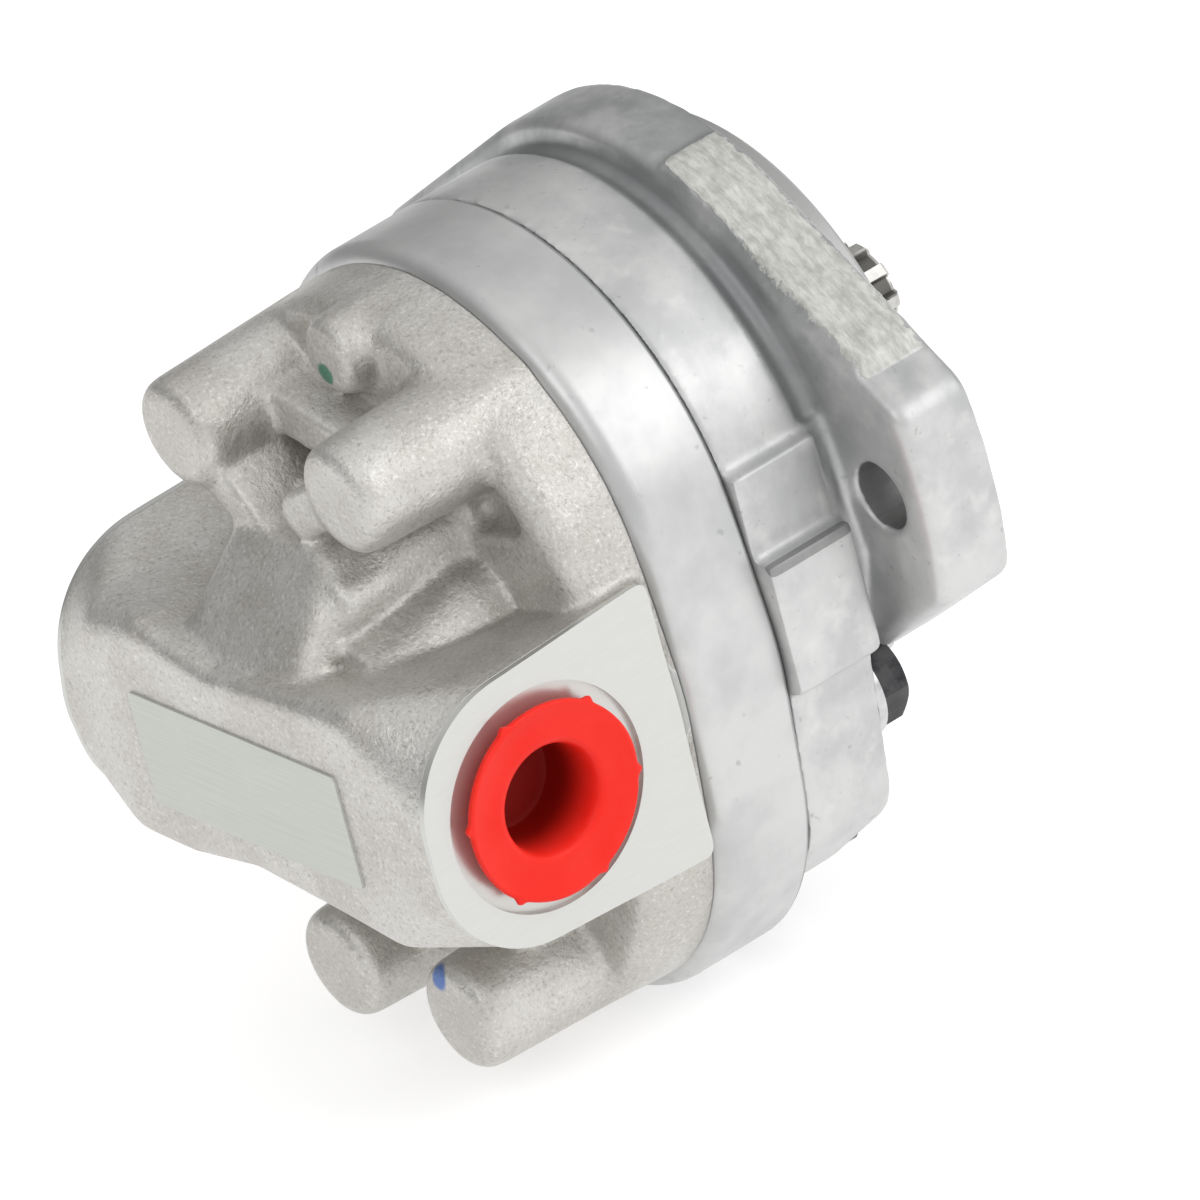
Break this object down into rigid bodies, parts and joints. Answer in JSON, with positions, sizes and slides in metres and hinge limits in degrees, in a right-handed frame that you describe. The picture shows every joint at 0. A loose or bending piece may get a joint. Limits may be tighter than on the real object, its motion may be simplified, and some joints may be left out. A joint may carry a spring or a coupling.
{
  "type": "hydraulic gear pump",
  "caption": "External gear pump in three bolted aluminium sections, with a two-bolt flange, a splined drive shaft, meshed gears inside, and a plugged port on each side.",
  "frame": {"origin": "centre of the pilot on the mounting face", "axes": "+Y out of the mounting face along the drive shaft, +X towards the outlet port, +Z from the idler gear towards the drive gear"},
  "size_m": [0.1296, 0.1281, 0.1284],
  "materials": {
    "sand_cast_aluminium": "rough sand-cast, machined port pads",
    "die_cast_aluminium": "smooth die-cast, a little tarnished",
    "housing_aluminium": "smooth, satin",
    "gear_steel": "ground and hardened",
    "bearing_bronze": "turned bronze",
    "seal_rubber": "matt black",
    "black_steel": "black oxide",
    "plain_steel": "bright zinc",
    "red_plastic": "moulded, soft gloss",
    "plate_film": "satin, bare"
  },
  "bodies": {
    "pump_body": {"front_cover": "die_cast_aluminium", "gear_housing": "housing_aluminium", "rear_cover": "sand_cast_aluminium", "front_drive_bush": "bearing_bronze", "front_idler_bush": "bearing_bronze", "rear_drive_bush": "bearing_bronze", "rear_idler_bush": "bearing_bronze", "front_thrust_plate": "bearing_bronze", "rear_thrust_plate": "bearing_bronze", "front_pressure_seal": "seal_rubber", "rear_pressure_seal": "seal_rubber", "front_section_seal": "seal_rubber", "rear_section_seal": "seal_rubber", "shaft_seal_case": "plain_steel", "shaft_seal_lip": "seal_rubber", "garter_spring": "plain_steel", "seal_retaining_ring": "black_steel", "socket_head_screws": "black_steel", "hex_head_screws": "black_steel", "screw_washers": "plain_steel", "dowel_pins": "plain_steel", "name_plate": "plate_film"},
    "drive_shaft": {"drive_gear_shaft": "gear_steel"},
    "idler_shaft": {"idler_gear_shaft": "gear_steel"},
    "outlet_plug_body": {"outlet_plug": "red_plastic"},
    "inlet_plug_body": {"inlet_plug": "red_plastic"}
  },
  "joints": [
    {"name": "drive_spin", "type": "hinge", "parent": "pump_body", "child": "drive_shaft", "pos_m": [0, 0, 0], "axis": [0, 1, 0], "continuous": true},
    {"name": "idler_spin", "type": "hinge", "parent": "pump_body", "child": "idler_shaft", "pos_m": [0, 0, -0.035], "axis": [0, 1, 0], "continuous": true},
    {"name": "outlet_plug_pull", "type": "slide", "parent": "pump_body", "child": "outlet_plug_body", "axis": [1, 0, 0], "range_m": [0, 0.035]},
    {"name": "inlet_plug_pull", "type": "slide", "parent": "pump_body", "child": "inlet_plug_body", "axis": [-1, 0, 0], "range_m": [0, 0.035]}
  ],
  "couplings": [
    {"joint": "idler_spin", "follows": "drive_spin", "ratio": -1}
  ]
}
